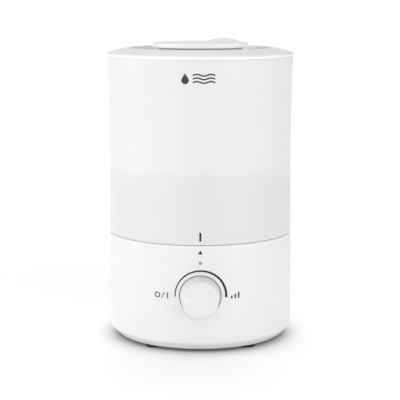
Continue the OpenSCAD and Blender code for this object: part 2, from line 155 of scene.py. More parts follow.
def carve(ob, tool, how="DIFFERENCE", sharp=32):
    m = ob.modifiers.new("carve", "BOOLEAN")
    m.operation = how
    m.solver = "EXACT"
    m.object = tool
    bpy.context.view_layer.update()
    dg = bpy.context.evaluated_depsgraph_get()
    me = bpy.data.meshes.new_from_object(ob.evaluated_get(dg))
    ob.modifiers.clear()
    old = ob.data
    ob.data = me
    bpy.data.meshes.remove(old)
    bpy.data.objects.remove(tool)
    shade(ob, sharp)
    return ob


def block(name, lo, hi, turn=0.0, pivot=(0, 0)):
    x0, y0, z0 = lo
    x1, y1, z1 = hi
    v = [(x, y, z) for z in (z0, z1) for x, y in ((x0, y0), (x1, y0), (x1, y1), (x0, y1))]
    c, s = math.cos(turn), math.sin(turn)
    v = [(pivot[0] + x * c - y * s, pivot[1] + x * s + y * c, z) for x, y, z in v]
    f = [(0, 3, 2, 1), (4, 5, 6, 7), (0, 1, 5, 4), (1, 2, 6, 5), (2, 3, 7, 6), (3, 0, 4, 7)]
    return make(name, v, f, [])


def add_parts(ob, parts, index, sharp=32):
    """Adds closed shells, each (verts, faces) in millimetres, to a mesh under one of its materials."""
    bm = bmesh.new()
    bm.from_mesh(ob.data)
    for verts, faces in parts:
        vs = [bm.verts.new(to_row(p)) for p in verts]
        fs = []
        for f in faces:
            try:
                g = bm.faces.new([vs[i] for i in f])
            except ValueError:
                continue
            g.material_index = index
            fs.append(g)
        bmesh.ops.recalc_face_normals(bm, faces=fs)
    bm.to_mesh(ob.data)
    bm.free()
    shade(ob, sharp)


def tube(points, radius, sides=14, bend=3.0, steps=6):
    """A round wire through points, with rounded bends that stay inside the corners."""
    pts = [np.array(p, float) for p in points]
    path = [pts[0]]
    for i in range(1, len(pts) - 1):
        a, b = pts[i - 1] - pts[i], pts[i + 1] - pts[i]
        la, lb = np.linalg.norm(a), np.linalg.norm(b)
        t = min(bend, 0.45 * la, 0.45 * lb)
        p0, p1 = pts[i] + a / la * t, pts[i] + b / lb * t
        for k in range(steps + 1):
            q = k / steps
            path.append((1 - q) ** 2 * p0 + 2 * q * (1 - q) * pts[i] + q * q * p1)
    path.append(pts[-1])
    verts, faces = [], []
    t = path[1] - path[0]
    t /= np.linalg.norm(t)
    u = np.cross(t, (0.3, 0.5, 0.81))
    u /= np.linalg.norm(u)
    for i, p in enumerate(path):
        d = path[min(i + 1, len(path) - 1)] - path[max(i - 1, 0)]
        d /= np.linalg.norm(d)
        u = u - d * (u @ d)
        u /= np.linalg.norm(u)
        w = np.cross(d, u)
        for k in range(sides):
            a = 2 * math.pi * k / sides
            verts.append(tuple(p + radius * (math.cos(a) * u + math.sin(a) * w)))
    m = len(path)
    for i in range(m - 1):
        for k in range(sides):
            l = (k + 1) % sides
            faces.append((i * sides + k, i * sides + l, (i + 1) * sides + l, (i + 1) * sides + k))
    faces.append(tuple(range(sides))[::-1])
    faces.append(tuple((m - 1) * sides + k for k in range(sides)))
    return verts, faces


def joined(name, parts, mats, sharp=32):
    verts, faces = [], []
    for v, f in parts:
        o = len(verts)
        verts += list(v)
        faces += [tuple(i + o for i in g) for g in f]
    return make(name, verts, faces, mats, sharp)


def place(ob, body, slot, *nodes):
    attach(ob, body)
    if nodes:
        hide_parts(*nodes)
    return ob


# --------------------------------------------------------------- materials


def node_mat(name):
    m = bpy.data.materials.new(name)
    m.use_nodes = True
    nt = m.node_tree
    return m, nt, nt.nodes["Principled BSDF"]


def coords(nt, scale=(1, 1, 1)):
    tc = nt.nodes.new("ShaderNodeTexCoord")
    mp = nt.nodes.new("ShaderNodeMapping")
    mp.inputs["Scale"].default_value = scale
    nt.links.new(tc.outputs["Object"], mp.inputs["Vector"])
    return mp.outputs["Vector"]


def noise(nt, vec, scale, detail=3.0, rough=0.55):
    n = nt.nodes.new("ShaderNodeTexNoise")
    n.inputs["Scale"].default_value = scale
    n.inputs["Detail"].default_value = detail
    n.inputs["Roughness"].default_value = rough
    nt.links.new(vec, n.inputs["Vector"])
    return n.outputs["Fac"]


def remap(nt, fac, lo, hi, f0=0.3, f1=0.7, smooth=False):
    m = nt.nodes.new("ShaderNodeMapRange")
    m.interpolation_type = "SMOOTHSTEP" if smooth else "LINEAR"
    m.inputs["From Min"].default_value = f0
    m.inputs["From Max"].default_value = f1
    m.inputs["To Min"].default_value = lo
    m.inputs["To Max"].default_value = hi
    nt.links.new(fac, m.inputs["Value"])
    return m.outputs["Result"]


def mix_colour(nt, fac, a, b):
    m = nt.nodes.new("ShaderNodeMix")
    m.data_type = "RGBA"
    m.inputs["A"].default_value = (*a, 1)
    m.inputs["B"].default_value = (*b, 1)
    nt.links.new(fac, m.inputs["Factor"])
    return m.outputs["Result"]


def bump(nt, bsdf, height, strength, distance):
    b = nt.nodes.new("ShaderNodeBump")
    b.inputs["Strength"].default_value = strength
    b.inputs["Distance"].default_value = distance
    nt.links.new(height, b.inputs["Height"])
    nt.links.new(b.outputs["Normal"], bsdf.inputs["Normal"])


def plastic(name, colour, rough=0.42, tone=0.006, grain=0.06, grain_scale=2600,
            ior=1.46, sub=0.0, coat=0.0, spread=0.01, shine=0.5):
    m, nt, p = node_mat(name)
    vec = coords(nt)
    n = noise(nt, vec, 14, 0.0)
    dark = tuple(c * (1 - tone) for c in colour)
    light = tuple(min(1, c * (1 + tone)) for c in colour)
    nt.links.new(mix_colour(nt, n, dark, light), p.inputs["Base Color"])
    nt.links.new(remap(nt, n, rough - spread, rough + spread, 0.0, 1.0), p.inputs["Roughness"])
    p.inputs["Specular IOR Level"].default_value = shine
    if grain:
        bump(nt, p, noise(nt, vec, grain_scale, 2.0), grain, 0.00004)
    p.inputs["IOR"].default_value = ior
    p.inputs["Metallic"].default_value = 0.0
    if sub:
        p.inputs["Subsurface Weight"].default_value = sub
        p.inputs["Subsurface Radius"].default_value = (0.003, 0.003, 0.003)
        p.inputs["Subsurface Scale"].default_value = 1.0
    if coat:
        p.inputs["Coat Weight"].default_value = coat
        p.inputs["Coat Roughness"].default_value = 0.15
    return m


def metal(name, colour, rough=0.3, scale=(1, 1, 1), grain=0.15, line=900, tone=0.08):
    m, nt, p = node_mat(name)
    vec = coords(nt, scale)
    n = noise(nt, vec, line, 4.0)
    nt.links.new(mix_colour(nt, n, tuple(c * (1 - tone) for c in colour),
                            tuple(min(1, c * (1 + tone)) for c in colour)),
                 p.inputs["Base Color"])
    nt.links.new(remap(nt, noise(nt, vec, 140), rough - 0.06, rough + 0.08),
                 p.inputs["Roughness"])
    bump(nt, p, n, grain, 0.00003)
    p.inputs["Metallic"].default_value = 1.0
    return m


def height_mask(nt, z0, z1, lo=0.0, hi=1.0):
    """lo below z0 and hi above z1, heights in millimetres on the piece."""
    tc = nt.nodes.new("ShaderNodeTexCoord")
    sep = nt.nodes.new("ShaderNodeSeparateXYZ")
    nt.links.new(tc.outputs["Object"], sep.inputs["Vector"])
    return remap(nt, sep.outputs["Z"], lo, hi, z0 / 1000, z1 / 1000, smooth=True)


def painted_light_plastic(name, rim, top, z0, z1, rough, shine, gap_shade_strength=0.0):
    """White plastic with painted light: a painted highlight makes the rim below z0 brighter and painted shade makes
    the upper face above z1 darker; painted shade from ambient occlusion darkens deep gaps.
    """
    m, nt, p = node_mat(name)
    n = noise(nt, coords(nt), 14, 0.0)
    both = nt.nodes.new("ShaderNodeMix")
    both.data_type = "RGBA"
    nt.links.new(height_mask(nt, z0, z1), both.inputs["Factor"])
    nt.links.new(mix_colour(nt, n, (rim - 0.005,) * 3, (rim + 0.005,) * 3), both.inputs["A"])
    nt.links.new(mix_colour(nt, n, (top - 0.005,) * 3, (top + 0.005,) * 3), both.inputs["B"])
    out = both.outputs["Result"]
    # painted shade: ambient occlusion multiplies the colour darker in gaps and recesses
    if gap_shade_strength:
        ao = nt.nodes.new("ShaderNodeAmbientOcclusion")
        ao.samples = 8
        ao.inputs["Distance"].default_value = 0.025
        painted_gap_shade = nt.nodes.new("ShaderNodeMix")
        painted_gap_shade.data_type = "RGBA"
        painted_gap_shade.blend_type = "MULTIPLY"
        painted_gap_shade.inputs["Factor"].default_value = 1.0
        nt.links.new(out, painted_gap_shade.inputs["A"])
        nt.links.new(remap(nt, ao.outputs["AO"], 1 - gap_shade_strength, 1.0, 0.12, 0.5), painted_gap_shade.inputs["B"])
        out = painted_gap_shade.outputs["Result"]
    nt.links.new(out, p.inputs["Base Color"])
    nt.links.new(remap(nt, n, rough - 0.01, rough + 0.01, 0.0, 1.0), p.inputs["Roughness"])
    p.inputs["Specular IOR Level"].default_value = shine
    p.inputs["IOR"].default_value = 1.46
    return m


WHITE = (0.805, 0.805, 0.805)
mat_shell = plastic("white_shell", WHITE, 0.29, grain=0, shine=0.38)
# lid: rim painted brighter and upper face painted darker, painted light and shade set by height
mat_lid = painted_light_plastic("white_lid_painted_rim_light", 0.9, 0.795, 263.4, 264.8, 0.29, 0.4)
# nozzle: rim painted brighter, top painted darker, and painted shade darkens its gaps
mat_nozzle = painted_light_plastic("white_nozzle_painted_light_and_shade", 0.95, 0.82, 272.6, 273.5, 0.27, 0.5, 0.8)
mat_knob = plastic("white_knob", (0.78, 0.78, 0.78), 0.42, grain=0)
mat_knob_bar = plastic("knob_pointer", (0.95, 0.95, 0.95), 0.3)
mat_ink = plastic("black_ink", (0.012, 0.012, 0.012), 0.5, tone=0.1)
mat_ink_soft = plastic("grey_ink", (0.035, 0.035, 0.037), 0.5, tone=0.1)


def coat_line(nt, lo, hi):
    """lo in the frosted band and hi above it; the line is 3.6 mm lower at the sides than at front and back."""
    tc = nt.nodes.new("ShaderNodeTexCoord")
    sep = nt.nodes.new("ShaderNodeSeparateXYZ")
    nt.links.new(tc.outputs["Object"], sep.inputs["Vector"])

    def calc(op, a, b):
        n = nt.nodes.new("ShaderNodeMath")
        n.operation = op
        for i, q in enumerate((a, b)):
            if isinstance(q, (int, float)):
                n.inputs[i].default_value = q
            else:
                nt.links.new(q, n.inputs[i])
        return n.outputs["Value"]

    y = calc("SUBTRACT", sep.outputs["Y"], AY / 1000)
    yy = calc("MULTIPLY", y, y)
    z = calc("SUBTRACT", sep.outputs["Z"], calc("MULTIPLY", yy, 0.0036 / 0.085**2))
    return remap(nt, z, lo, hi, 0.1555, 0.1590, smooth=True)


def tank_material():
    m, nt, p = node_mat("frosted_tank")
    vec = coords(nt)
    n = noise(nt, vec, 12, 0.0)
    up = mix_colour(nt, n, (0.775, 0.775, 0.775), (0.785, 0.785, 0.785))
    down = mix_colour(nt, n, (0.77, 0.765, 0.765), (0.78, 0.775, 0.775))
    both = nt.nodes.new("ShaderNodeMix")
    both.data_type = "RGBA"
    nt.links.new(coat_line(nt, 0.0, 1.0), both.inputs["Factor"])
    nt.links.new(down, both.inputs["A"])
    nt.links.new(up, both.inputs["B"])
    nt.links.new(both.outputs["Result"], p.inputs["Base Color"])
    nt.links.new(remap(nt, n, 0.285, 0.305, 0.0, 1.0), p.inputs["Roughness"])
    p.inputs["Specular IOR Level"].default_value = 0.36
    nt.links.new(coat_line(nt, 0.05, 0.0), p.inputs["Transmission Weight"])
    p.inputs["IOR"].default_value = 1.47
    return m


mat_tank = tank_material()


def board_material():
    m, nt, p = node_mat("circuit_board")
    vec = coords(nt)
    br = nt.nodes.new("ShaderNodeTexBrick")
    br.inputs["Scale"].default_value = 160
    br.inputs["Mortar Size"].default_value = 0.035
    br.inputs["Color1"].default_value = (0.018, 0.12, 0.055, 1)
    br.inputs["Color2"].default_value = (0.02, 0.13, 0.06, 1)
    br.inputs["Mortar"].default_value = (0.045, 0.2, 0.09, 1)
    nt.links.new(vec, br.inputs["Vector"])
    nt.links.new(br.outputs["Color"], p.inputs["Base Color"])
    p.inputs["Roughness"].default_value = 0.3
    bump(nt, p, br.outputs["Fac"], 0.3, 0.00003)
    return m


SLOTS = {
    "cover_white": plastic("moulded_cover", (0.72, 0.72, 0.715), 0.55, grain=0.15),
    "foot_rubber": plastic("black_rubber", (0.02, 0.02, 0.02), 0.75, grain=0.3,
                           grain_scale=1400, tone=0.15),
    "screw_steel": metal("zinc_screw", (0.62, 0.62, 0.64), 0.32),
    "basin_white": plastic("basin_plastic", (0.78, 0.785, 0.79), 0.25, coat=0.3),
    "seal_silicone": plastic("silicone", (0.6, 0.61, 0.62), 0.5, sub=0.2, grain=0.1),
    "bracket_grey": plastic("grey_bracket", (0.15, 0.155, 0.165), 0.55, grain=0.15),
    "pot_metal": metal("stamped_case", (0.6, 0.6, 0.6), 0.38),
    "board_green": board_material(),
    "led_body": plastic("clear_epoxy", (0.8, 0.84, 0.9), 0.15, coat=0.4),
    "light_guide": plastic("light_guide", (0.33, 0.34, 0.35), 0.25, coat=0.5, tone=0.05),
    "sink_aluminium": metal("extruded_aluminium", (0.7, 0.71, 0.72), 0.35,
                            scale=(1, 1, 12), line=500),
    "chip_black": plastic("moulded_epoxy", (0.02, 0.02, 0.02), 0.5, grain=0.2),
    "capacitor_sleeve": plastic("shrink_sleeve", (0.02, 0.025, 0.07), 0.25, coat=0.3),
    "coil_copper": metal("enamelled_coil", (0.55, 0.24, 0.1), 0.3, scale=(1, 1, 1),
                         line=420, tone=0.35, grain=0.8),
    "connector_white": plastic("connector_nylon", (0.72, 0.7, 0.64), 0.4),
    "jack_black": plastic("jack_plastic", (0.02, 0.02, 0.02), 0.3, coat=0.2),
    "fan_black": plastic("fan_plastic", (0.025, 0.025, 0.028), 0.42, grain=0.15),
    "duct_grey": plastic("duct_plastic", (0.33, 0.34, 0.35), 0.5, grain=0.12),
    "piezo_steel": metal("piezo_disc", (0.72, 0.72, 0.73), 0.2),
    "clamp_brass": metal("brass_clamp", (0.72, 0.55, 0.26), 0.28),
    "float_orange": plastic("foamed_float", (0.7, 0.26, 0.07), 0.6, grain=0.5,
                            grain_scale=900, tone=0.08),
    "magnet_dark": metal("ferrite", (0.1, 0.1, 0.11), 0.5),
    "wire_red": plastic("red_insulation", (0.35, 0.02, 0.015), 0.35),
    "wire_black": plastic("black_insulation", (0.02, 0.02, 0.02), 0.35),
    "wire_grey": plastic("grey_insulation", (0.3, 0.31, 0.32), 0.4),
    "knob_white": mat_knob,
    "shaft_steel": metal("turned_shaft", (0.66, 0.66, 0.67), 0.25),
    "tank_frosted": mat_tank,
    "tank_inner_frosted": plastic("frosted_inner", (0.72, 0.735, 0.74), 0.4, sub=0.2),
    "valve_white": plastic("valve_plastic", (0.75, 0.76, 0.76), 0.35),
    "spring_steel": metal("spring_wire", (0.62, 0.62, 0.64), 0.22),
    "shell_white": mat_shell,
    "lid_white": mat_lid,
    "nozzle_white": mat_nozzle,
}

# ------------------------------------------------------------ printed marks


def front_shell(radius_at, left, right, lift=0.05, sink=0.12):
    """A thin printed strip on the front wall between two rows of (x, z) points."""
    wide = max(math.hypot(p[0] - q[0], p[1] - q[1]) for p, q in zip(left, right))
    cols = max(1, int(math.ceil(wide / 1.2)))
    verts, faces = [], []
    n, w = len(left), cols + 1
    for h in (lift, -sink):
        for p, q in zip(left, right):
            for c in range(w):
                x = p[0] + (q[0] - p[0]) * c / cols
                z = p[1] + (q[1] - p[1]) * c / cols
                r = radius_at(z) + h
                verts.append((x, -math.sqrt(r * r - x * x), z))
    m = n * w
    for i in range(n - 1):
        for c in range(cols):
            k = i * w + c
            faces.append((k, k + w, k + w + 1, k + 1))
            faces.append((m + k, m + k + 1, m + k + w + 1, m + k + w))
        for k in (i * w, i * w + cols):
            faces.append((k, m + k, m + k + w, k + w))
    for c in range(cols):
        for k in (c, (n - 1) * w + c):
            faces.append((k, k + 1, m + k + 1, m + k))
    return verts, faces


def stroke(path, width):
    """Left and right rows of a line with round ends; width is a number or a list."""
    path = [np.array(p, float) for p in path]
    n = len(path)
    w = [width] * n if isinstance(width, (int, float)) else list(width)
    left, right = [], []
    for i, p in enumerate(path):
        d = path[min(i + 1, n - 1)] - path[max(i - 1, 0)]
        d /= np.linalg.norm(d)
        s = np.array((-d[1], d[0])) * w[i] / 2
        if i == 0:
            for k in range(8):
                a = math.pi / 2 * k / 8
                c = p - d * w[i] / 2 * math.cos(a)
                left.append(tuple(c + s * math.sin(a)))
                right.append(tuple(c - s * math.sin(a)))
        left.append(tuple(p + s))
        right.append(tuple(p - s))
        if i == n - 1:
            for k in range(7, -1, -1):
                a = math.pi / 2 * k / 8
                c = p + d * w[i] / 2 * math.cos(a)
                left.append(tuple(c + s * math.sin(a)))
                right.append(tuple(c - s * math.sin(a)))
    return left, right


def ring_rows(cx, cz, r, width, n=40):
    a = [2 * math.pi * k / n for k in range(n + 1)]
    return ([(cx + (r + width / 2) * math.cos(t), cz + (r + width / 2) * math.sin(t)) for t in a],
            [(cx + (r - width / 2) * math.cos(t), cz + (r - width / 2) * math.sin(t)) for t in a])


def base_radius(z):
    return 85.3 - 0.3 * (z - 14) / 84


TANK_OUT = [(99.2, 84.4), (99.9, 84.85), (121, 84.7), (152, 84.4), (189, 84.26),
            (207, 84.5), (234, 84.9), (249, 85.4), (257.5, 85.8), (261.2, 85.8)]


def tank_radius(z):
    """A smooth waist through the measured radii."""
    zs = [t[0] for t in TANK_OUT[1:]]
    rs = [t[1] for t in TANK_OUT[1:]]
    n = len(zs)
    if z <= zs[0]:
        return rs[0]
    if z >= zs[-1]:
        return rs[-1]
    i = max(k for k in range(n - 1) if zs[k] <= z)
    m = []
    for k in (i, i + 1):
        a, b = max(k - 1, 0), min(k + 1, n - 1)
        m.append((rs[b] - rs[a]) / (zs[b] - zs[a]))
    h = zs[i + 1] - zs[i]
    t = (z - zs[i]) / h
    return ((2 * t**3 - 3 * t**2 + 1) * rs[i] + (t**3 - 2 * t**2 + t) * h * m[0]
            + (-2 * t**3 + 3 * t**2) * rs[i + 1] + (t**3 - t**2) * h * m[1])


def base_marks():
    out = []
    # the scale: a half circle that grows from thin to thick, clockwise
    n = 72
    path, width = [], []
    for k in range(n + 1):
        a = math.pi * (1 - k / n) * 1.02 - 0.01 * math.pi
        path.append((0.3 + 22.7 * math.cos(a), 53.3 + 22.7 * math.sin(a)))
        width.append(0.95 + 1.2 * (k / n))
    out.append(stroke(path, width))
    # arrow head over the light
    out.append(([(-2.05, 90.85), (-1.0, 92.8), (0, 94.7)], [(2.05, 90.85), (1.0, 92.8), (0.001, 94.7)]))
    # off and on: ring, slash, bar
    out.append(ring_rows(-38.2, 52.9, 2.1, 0.85))
    out.append(stroke([(-34.4, 50.7), (-32.2, 55.1)], 0.75))
    out.append(stroke([(-29.2, 50.7), (-29.2, 52.9), (-29.2, 55.1)], 0.95))
    # more mist: three rising bars
    for k in range(3):
        x = 28.0 + 3.1 * k
        top = 52.3 + 1.4 * k
        out.append(stroke([(x, 50.7), (x, (50.7 + top) / 2), (x, top)], 1.35))
    return [front_shell(base_radius, *rows) for rows in out]


def tank_marks():
    return [front_shell(tank_radius, *stroke([(0, 103.2), (0, 105.5), (0, 109.5)], 1.8))]


def tank_emblem():
    """A plain drop beside three wavy lines."""
    out = []
    left, right = [], []
    n = 28
    for k in range(n + 1):
        t = k / n
        z = 240.6 + 9.4 * t
        if t < 0.36:
            w = 3.3 * math.sqrt(max(0, 1 - ((0.36 - t) / 0.36) ** 2))
        else:
            q = (t - 0.36) / 0.64
            w = 3.3 * (1 - q) * (1 + 0.55 * q) * (1 - 0.25 * q * q)
        w = max(w, 0.03)
        left.append((-13.2 - w, z))
        right.append((-13.2 + w, z))
    out.append((left, right))
    for j in range(3):
        z0 = 242.2 + 3.1 * j
        path = []
        for k in range(33):
            u = k / 32
            path.append((-6.0 + 18.5 * u, z0 + 0.75 * math.sin(2 * math.pi * 1.5 * u)))
        out.append(stroke(path, 1.3))
    return [front_shell(tank_radius, *rows) for rows in out]


# ------------------------------------------------------------------- base

base_outline = fillet([
    (77.4, 3.1, 0.1), (77.75, 3.2, 0.3), (84.55, 9.9, 2.6), (85.3, 14), (85.0, 98.6, 0.6),
    (82.6, 98.6, 0.5), (82.6, 88.6), (78.6, 88.6, 0.2), (78.6, 87.2, 0.2), (82.6, 83.2, 0.4),
    (82.6, 12.2, 1.0), (77.4, 6.9, 0.2)])
base = lathe("base_shell_skin", base_outline, [mat_shell, mat_ink], sharp=28)


def front_drill(r, y0, y1, z, seg=96, name="drill"):
    v, f = spun([(0, -y1), (r, -y1), (r, -y0), (0, -y0)], seg)
    return make(name, facing_front(v, z), f, [])


carve(base, front_drill(18.8, -90, -75, KNOB_Z, 160), sharp=28)
carve(base, front_drill(1.4, -90, -78, 83, 48), sharp=28)
carve(base, front_drill(4.2, 80, 90, 18, 64), sharp=28)
carve(base, block("pocket", (-6.5, 78, 11.5), (6.5, 82.8, 24.5)), sharp=28)
bosses = []
for x, y in ((28, 61), (-28, 61), (28, -61), (-28, -61)):
    v, f = spun(fillet([(1.6, 5.4), (4, 5.4), (4, 28, 0.4), (1.6, 28)]), 48)
    bosses.append(([(a + x, b + y, c) for a, b, c in v], f))
for a in (45, 135, 225, 315):
    x, y = 71 * math.cos(math.radians(a)), 71 * math.sin(math.radians(a))
    v, f = spun(fillet([(1.6, 70, 0), (3.5, 70, 0.4), (3.5, 90), (1.6, 90)]), 48)
    bosses.append(([(p + x, q + y, c) for p, q, c in v], f))
    t = math.radians(a)
    c, s = math.cos(t), math.sin(t)
    box = [(74, -1, 70), (82.7, -1, 70), (82.7, 1, 70), (74, 1, 70),
           (74, -1, 87), (82.7, -1, 87), (82.7, 1, 87), (74, 1, 87)]
    bosses.append(([(p * c - q * s, p * s + q * c, z) for p, q, z in box],
                   [(0, 3, 2, 1), (4, 5, 6, 7), (0, 1, 5, 4), (1, 2, 6, 5), (2, 3, 7, 6), (3, 0, 4, 7)]))
add_parts(base, bosses, 0, 28)
add_parts(base, base_marks(), 1, 28)
place(base, "base", "shell_white", "base_shell")

feet = []
for x, y in ((43.3, 55), (-43.3, 55), (43.3, -55), (-43.3, -55)):
    v, f = spun(fillet([(0, 0.0), (3.6, 0.0, 0.2), (4.0, 0.35, 0.2), (4.6, 0.35, 0.2),
                        (5.0, 0.0, 0.2), (6.5, 0.0, 0.9), (6.5, 4.0), (0, 4.0)]), 64)
    feet.append(([(a + x, b + y, c) for a, b, c in v], f))
place(joined("rubber_feet_skin", feet, [SLOTS["foot_rubber"]]), "base", "foot_rubber", "rubber_feet")

lens = lathe("light_lens", fillet([(0, 77.2), (3, 77.2), (3, 79.2, 0.1), (1.28, 79.2), (1.28, 84.6, 0.35),
                                   (0.001, 84.9)]),
             [SLOTS["light_guide"]], 48)
lens.data.transform(Matrix.Translation((0, 0, 0)))
for v in lens.data.vertices:
    x, y, z = v.co.x * 1000, v.co.y * 1000 - AY, v.co.z * 1000
    v.co = Vector(to_row((x, -z, 83 + y)))
place(lens, "base", "light_guide", "light_pipe")

# ------------------------------------------------------------------- knob

knob_outline = fillet([
    (0, 98.9), (0, 100.85), (14.6, 100.85, 1.2), (15.9, 100.45, 1.0), (16.5, 99.2, 0.8),
    (18.1, 83.5, 0.3), (18.1, 80.2, 0.3), (15.9, 80.2, 0.3), (15.9, 84),
    (14.4, 98.4, 1.0), (6, 98.4, 0.6), (6, 82, 0.3), (3.05, 82), (3.05, 98.9)])
knob = lathe("control_knob_skin", knob_outline, [mat_knob, mat_knob_bar], 192, front=True, sharp=28)
bars = []
for x in (-13.3, -11.0, -8.7):
    n, w, h = 8, 0.55, 2.35
    rows = []
    for k in range(2 * n):
        a = 2 * math.pi * k / (2 * n)
        rows.append((w * math.cos(a), (h - w) * (1 if math.sin(a) >= 0 else -1) + w * math.sin(a)))
    m = len(rows)
    verts = []
    for y, s in ((-100.7, 1.0), (-101.02, 1.0), (-101.1, 0.8)):
        verts += [(x + p * s, y, KNOB_Z + q * (1 if s == 1 else 0.96)) for p, q in rows]
    faces = [tuple(range(m)), tuple(2 * m + k for k in range(m))[::-1]]
    for lay in (0, 1):
        for k in range(m):
            l = (k + 1) % m
            faces.append((lay * m + k, lay * m + l, (lay + 1) * m + l, (lay + 1) * m + k))
    bars.append((verts, faces))
add_parts(knob, bars, 1, 28)
place(knob, "knob", "knob_white", "control_knob")

# ------------------------------------------------------------------- tank

outer = [(tank_radius(z), z) for z in np.linspace(100.2, 260.0, 90)]
inner = [(r - 2.4, z) for r, z in outer if z > 104.5]
tank_outline = fillet([(77.4, 92.3, 0.3), (79.8, 92.3, 0.4), (79.8, 99.02, 0.3), (84.85, 99.02, 0.28)]
                      + outer + [(85.8, 261.2, 0.3), (83.4, 261.2, 0.4)] + inner[::-1]
                      + [(82.4, 103.0, 1.2), (80.8, 101.6, 1.0), (77.4, 101.6)])
tank = lathe("tank_shell_skin", tank_outline, [mat_tank, mat_ink, mat_ink_soft], sharp=28)
add_parts(tank, tank_marks(), 1, 28)
add_parts(tank, tank_emblem(), 2, 28)
place(tank, "tank", "tank_frosted", "tank_shell")

chimney = lathe("mist_chimney_skin", fillet([
    (17.5, 88, 0.5), (19.5, 88, 0.5), (19.5, 99.5, 0.2), (22.5, 99.5, 0.3), (22.5, 101, 0.5),
    (20.3, 102.5, 1.0), (19.5, 104, 0.8), (19.5, 249, 0.8), (17.5, 249, 0.8)]),
    [SLOTS["tank_inner_frosted"]], 128)
place(chimney, "tank", "tank_inner_frosted", "mist_chimney")

# -------------------------------------------------------------------- lid

lid_outline = fillet([
    (20, 244, 0.5), (22, 244, 0.5), (22, 254.8, 0.8), (59.6, 254.8, 2.5), (62.6, 255.9, 1.5),
    (64.8, 258.6, 1.5), (67.4, 266.6, 0.6), (70, 266.4, 1), (75, 265.3, 4), (80.2, 263.9, 0.6), (80.2, 252, 0.4),
    (82.2, 252, 0.5), (82.2, 256), (81.2, 256), (81.2, 258), (82.2, 258), (82.2, 261.3, 0.3),
    (85.9, 261.3, 0.25), (85.9, 263.5, 0.8), (85.3, 264.6, 0.6), (84.3, 265.0, 0.8),
    (80, 266.3, 12), (75, 267.5, 14), (70, 268.5, 12), (67.4, 268.9, 3), (65.9, 269.12, 1.0), (64.9, 268.4, 0.8),
    (62.6, 260.0, 3.0), (61, 257.5, 2.0), (58.6, 257, 2.0), (22, 257, 0.6), (22, 259.6, 0.4), (20, 259.6, 0.3)], 8)
lid = lathe("lid_shell_skin", lid_outline, [mat_lid], sharp=28)
place(lid, "lid", "lid_white", "lid_shell")
seal = lathe("lid_seal_skin", fillet([(81.25, 256.1, 0.3), (82.1, 256.1, 0.3), (82.9, 256.4, 0.25), (82.4, 257.0, 0.2),
                                      (82.9, 257.6, 0.25), (82.1, 257.9, 0.3), (81.25, 257.9, 0.3)]),
             [SLOTS["seal_silicone"]])
place(seal, "lid", "seal_silicone", "lid_seal")

# ----------------------------------------------------------------- nozzle

disc_outline = fillet([
    (0, 272.2), (42, 272.2, 0.3), (42, 269.4, 0.3), (44, 269.4, 0.35), (44, 272.9, 1.0),
    (43.0, 273.55, 1.2), (38, 273.7, 8), (20, 273.85, 10), (0, 273.9)])
disc = lathe("nozzle_disc_skin", disc_outline, [mat_nozzle], sharp=26)

HX, HY, TURN = 22.0, 19.0, math.radians(-30)


def hood(x, y):
    """From the mouth's own axes, across and backward, to the body's axes."""
    return (HX + x * math.cos(TURN) - y * math.sin(TURN), HY + x * math.sin(TURN) + y * math.cos(TURN))


def disc_top(r):
    if r > 38:
        return 273.7 - 0.25 * ((r - 38) / 6) ** 2
    return 273.9 - 0.2 * (r / 38) ** 2


def hood_height(u, v, height, wide, back, long):
    """Rise of the hood over the disc: highest at the mouth, easing to nothing in front and at the sides."""
    s = max(0.0, 1 - (u / wide) ** 2)
    t = min(1.0, max(0.0, (back - v) / long))
    ease = 0.5 + 0.5 * math.cos(math.pi * t)
    return height * ease * s ** 1.1


def hood_solid(name, height, wide, back, long, floor_z, drop, mats):
    nu, nv = 72, 60
    verts, faces = [], []
    top, low = [], []
    for j in range(nv + 1):
        v = back - long * j / nv
        for i in range(nu + 1):
            u = -wide + 2 * wide * i / nu
            x, y = hood(u, v)
            r = math.hypot(x, y)
            if r > 43.2:
                x, y, r = x * 43.2 / r, y * 43.2 / r, 43.2
            z = disc_top(r) - 0.06 + hood_height(u, v, height, wide, back, long) - drop
            top.append((x, y, z))
            low.append((x, y, floor_z))
    n = len(top)
    w = nu + 1
    for j in range(nv):
        for i in range(nu):
            a = j * w + i
            faces.append((a, a + 1, a + 1 + w, a + w))
            faces.append((n + a, n + a + w, n + a + 1 + w, n + a + 1))
    for j in range(nv):
        for a in (j * w, j * w + nu):
            faces.append((a, a + w, n + a + w, n + a))
    for i in range(nu):
        for a in (i, nv * w + i):
            faces.append((a, a + 1, n + a + 1, n + a))
    return make(name, top + low, faces, mats, 30)


scoop = hood_solid("scoop", 3.15, 17.6, 3.0, 27.0, 272.5, 0.0, [mat_nozzle])
carve(disc, scoop, "UNION", 26)
v, f = spun(fillet([(0, 268), (10, 268), (10, 273.2), (10.0, 280), (0, 280)]), 96)
hole_back = make("hole_back", [(a + HX, b + HY, c) for a, b, c in v], f, [])
keep = block("keep", (-60, 2.9, 260), (60, 60, 290), TURN, (HX, HY))
carve(hole_back, keep, "INTERSECT")
carve(disc, hole_back, "DIFFERENCE", 26)
inside = hood_solid("inside", 3.15, 14.0, 3.6, 15.0, 268.0, 1.3, [])
v, f = spun([(0, 262), (11.5, 262), (11.5, 285), (0, 285)], 96)
limit = make("limit", [(a + HX * 0.97, b + HY * 0.97, c) for a, b, c in v], f, [])
carve(inside, limit, "INTERSECT")
carve(disc, inside, "DIFFERENCE", 26)
place(disc, "nozzle", "nozzle_white", "nozzle_disc")

dish = lathe("nozzle_base_skin", fillet([
    (17.9, 251, 0.4), (19.9, 251, 0.4), (19.9, 260, 0.3), (29, 260, 2.5), (40.6, 269.1, 0.8),
    (40.6, 272.2, 0.1), (39.4, 272.2, 0.1), (39.4, 270.3, 0.8), (28.3, 261.9, 2.0), (17.9, 261.9, 0.6)]), [mat_nozzle], 192)
place(dish, "nozzle", "nozzle_white", "nozzle_base")

# ----------------------------------------------------------- inner pieces

FX, FY = -38.0, 12.0


